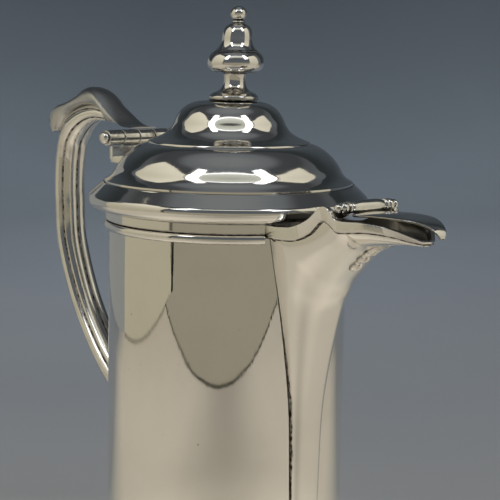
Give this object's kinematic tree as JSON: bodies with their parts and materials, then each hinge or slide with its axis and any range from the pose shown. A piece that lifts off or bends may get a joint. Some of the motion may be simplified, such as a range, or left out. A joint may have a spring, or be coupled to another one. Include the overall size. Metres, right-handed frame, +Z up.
{
  "type": "communion flagon",
  "caption": "Silver flagon with a cylindrical body, a beak spout with a hinged flap, a hinged domed lid with a turned finial and a reeded handle.",
  "frame": {"origin": "centre of the flat base on the body's axis, where the flagon stands", "axes": "+Z up the body's axis, +X out along the spout, the handle along -X"},
  "size_m": [0.2476, 0.1212, 0.2665],
  "materials": {
    "body": "mirror-polished silver",
    "spout": "polished silver",
    "lid": "mirror-polished silver",
    "finial": "polished silver",
    "handle": "polished cast silver",
    "hinge": "polished silver tube",
    "pins": "drawn silver wire"
  },
  "bodies": {
    "flagon_body": {"body_wall": "body", "base_disc": "body", "foot_skirt": "body", "foot_wire": "body", "rim_bead": "body", "rim_band": "body", "spout_shell": "spout", "spout_lip": "spout", "spout_drop": "spout", "flap_lug_left": "spout", "flap_lug_right": "spout", "flap_pin": "pins", "handle_knuckle_1": "hinge", "handle_knuckle_2": "hinge", "lid_hinge_pin": "pins", "hinge_strap": "handle", "handle_limb": "handle", "handle_cap": "handle", "handle_pad": "handle"},
    "lid": {"lid_dome": "lid", "lid_flange": "lid", "lid_bezel": "lid", "finial_base": "finial", "finial_bulb": "finial", "finial_bell": "finial", "finial_ball": "finial", "finial_washer": "pins", "finial_nut": "pins", "finial_stud": "pins", "lid_knuckle_1": "hinge", "lid_knuckle_2": "hinge", "lid_knuckle_3": "hinge", "lid_hinge_leaf": "hinge"},
    "spout_flap": {"spout_flap": "spout", "flap_barrel": "spout"}
  },
  "joints": [
    {"name": "lid_hinge", "type": "hinge", "parent": "flagon_body", "child": "lid", "pos_m": [-0.06, 0, 0.207], "axis": [0, -1, 0], "range_deg": [0, 105]},
    {"name": "flap_hinge", "type": "hinge", "parent": "flagon_body", "child": "spout_flap", "pos_m": [0.081, 0, 0.1892], "axis": [0, -1, 0], "range_deg": [0, 80]}
  ]
}
